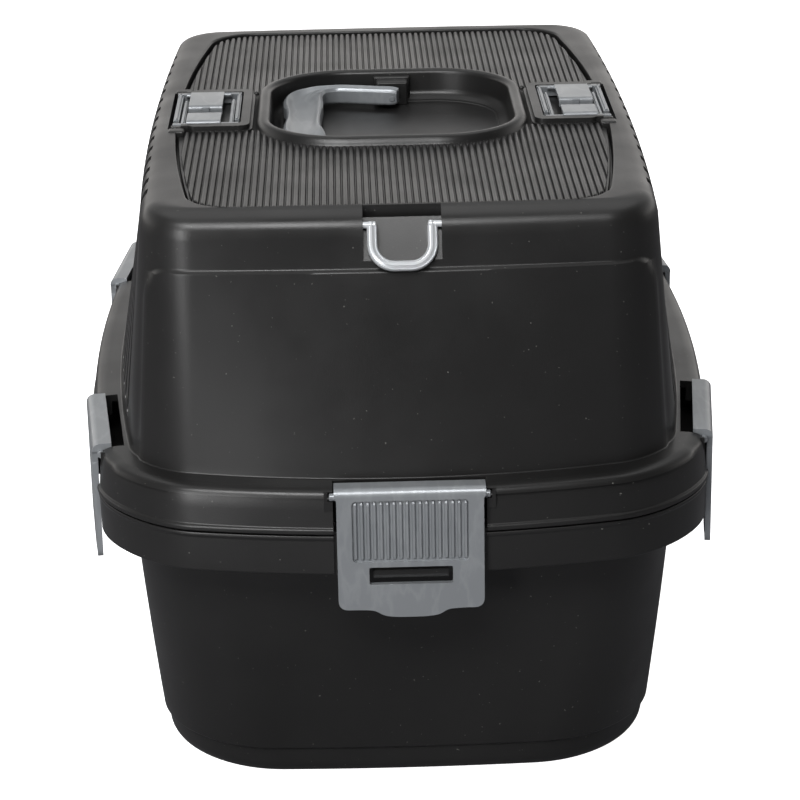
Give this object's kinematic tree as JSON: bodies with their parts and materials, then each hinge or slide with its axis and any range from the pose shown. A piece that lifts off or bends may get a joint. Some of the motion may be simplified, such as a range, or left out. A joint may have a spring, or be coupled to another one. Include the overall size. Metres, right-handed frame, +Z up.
{
  "type": "pet carrier",
  "caption": "Hard-shell pet carrier: tapered tub, clipped-on top shell, ribbed roof door with folding handle in a well, swing clips, D-rings and a barred front door.",
  "frame": {"origin": "centre of the tub's underside, on the floor", "axes": "+Z up, +Y towards the front door, +X to the right when the closed rear end is looked at"},
  "size_m": [0.3222, 0.485, 0.295],
  "materials": {
    "black_plastic": "satin moulded polypropylene, near black",
    "grey_plastic": "silver-grey moulded plastic with faint flow marks",
    "spring_steel": "bright spring wire"
  },
  "bodies": {
    "base": {"base_shell": "black_plastic"},
    "top_shell": {"top_shell": "black_plastic"},
    "roof_door": {"roof_door": "black_plastic", "latch_spring_left": "spring_steel", "latch_spring_right": "spring_steel"},
    "carry_handle": {"carry_handle": "grey_plastic"},
    "rear_clip": {"rear_clip": "grey_plastic"},
    "clip_left_rear": {"clip_left_rear": "grey_plastic"},
    "clip_left_front": {"clip_left_front": "grey_plastic"},
    "clip_right_rear": {"clip_right_rear": "grey_plastic"},
    "clip_right_front": {"clip_right_front": "grey_plastic"},
    "d_ring_rear": {"d_ring_rear": "grey_plastic"},
    "d_ring_front": {"d_ring_front": "grey_plastic"},
    "latch_left_far": {"latch_left_far": "grey_plastic"},
    "latch_left_near": {"latch_left_near": "grey_plastic"},
    "latch_right_far": {"latch_right_far": "grey_plastic"},
    "latch_right_near": {"latch_right_near": "grey_plastic"},
    "front_door": {"front_door": "grey_plastic", "door_latch_spring": "spring_steel", "door_latch_cover": "grey_plastic"},
    "door_latch_upper": {"door_latch_upper": "grey_plastic"},
    "door_latch_lower": {"door_latch_lower": "grey_plastic"}
  },
  "joints": [
    {"name": "top_shell_lift", "type": "slide", "parent": "base", "child": "top_shell", "axis": [0, 0, 1], "range_m": [0, 0.12]},
    {"name": "roof_door_open", "type": "hinge", "parent": "top_shell", "child": "roof_door", "pos_m": [0.1105, -0.017, 0.2905], "axis": [0, 1, 0], "range_deg": [0, 100]},
    {"name": "carry_handle_fold", "type": "hinge", "parent": "roof_door", "child": "carry_handle", "pos_m": [0.0015, -0.017, 0.2849], "axis": [0, 1, 0], "range_deg": [0, 170]},
    {"name": "rear_clip_swing", "type": "hinge", "parent": "top_shell", "child": "rear_clip", "pos_m": [0.0015, -0.23958, 0.165], "axis": [-1, 0, 0], "range_deg": [0, 105]},
    {"name": "clip_left_rear_swing", "type": "hinge", "parent": "top_shell", "child": "clip_left_rear", "pos_m": [-0.14932, -0.14274, 0.165], "axis": [-0.1184, 0.993, 0], "range_deg": [0, 105]},
    {"name": "clip_left_front_swing", "type": "hinge", "parent": "top_shell", "child": "clip_left_front", "pos_m": [-0.15231, 0.11579, 0.165], "axis": [0.0958, 0.9954, 0], "range_deg": [0, 105]},
    {"name": "clip_right_rear_swing", "type": "hinge", "parent": "top_shell", "child": "clip_right_rear", "pos_m": [0.14932, -0.14274, 0.165], "axis": [-0.1184, -0.993, 0], "range_deg": [0, 105]},
    {"name": "clip_right_front_swing", "type": "hinge", "parent": "top_shell", "child": "clip_right_front", "pos_m": [0.15231, 0.11579, 0.165], "axis": [0.0958, -0.9954, 0], "range_deg": [0, 105]},
    {"name": "d_ring_rear_swing", "type": "hinge", "parent": "top_shell", "child": "d_ring_rear", "pos_m": [0, -0.2066, 0.285], "axis": [-1, 0, 0], "range_deg": [0, 130]},
    {"name": "d_ring_front_swing", "type": "hinge", "parent": "top_shell", "child": "d_ring_front", "pos_m": [0, 0.1741, 0.285], "axis": [1, 0, 0], "range_deg": [0, 115]},
    {"name": "latch_left_far_squeeze", "type": "slide", "parent": "roof_door", "child": "latch_left_far", "axis": [0, -1, 0], "range_m": [0, 0.003], "stiffness_N_per_m": 900},
    {"name": "latch_left_near_squeeze", "type": "slide", "parent": "roof_door", "child": "latch_left_near", "axis": [0, 1, 0], "range_m": [0, 0.003], "stiffness_N_per_m": 900},
    {"name": "latch_right_far_squeeze", "type": "slide", "parent": "roof_door", "child": "latch_right_far", "axis": [0, -1, 0], "range_m": [0, 0.003], "stiffness_N_per_m": 900},
    {"name": "latch_right_near_squeeze", "type": "slide", "parent": "roof_door", "child": "latch_right_near", "axis": [0, 1, 0], "range_m": [0, 0.003], "stiffness_N_per_m": 900},
    {"name": "front_door_swing", "type": "hinge", "parent": "base", "child": "front_door", "pos_m": [-0.08, 0.2275, 0.134], "axis": [0, 0, 1], "range_deg": [0, 110]},
    {"name": "door_latch_upper_squeeze", "type": "slide", "parent": "front_door", "child": "door_latch_upper", "axis": [0, 0, -1], "range_m": [0, 0.004], "stiffness_N_per_m": 700, "deforming": ["door_latch_spring"]},
    {"name": "door_latch_lower_squeeze", "type": "slide", "parent": "front_door", "child": "door_latch_lower", "axis": [0, 0, 1], "range_m": [0, 0.004], "stiffness_N_per_m": 700}
  ]
}
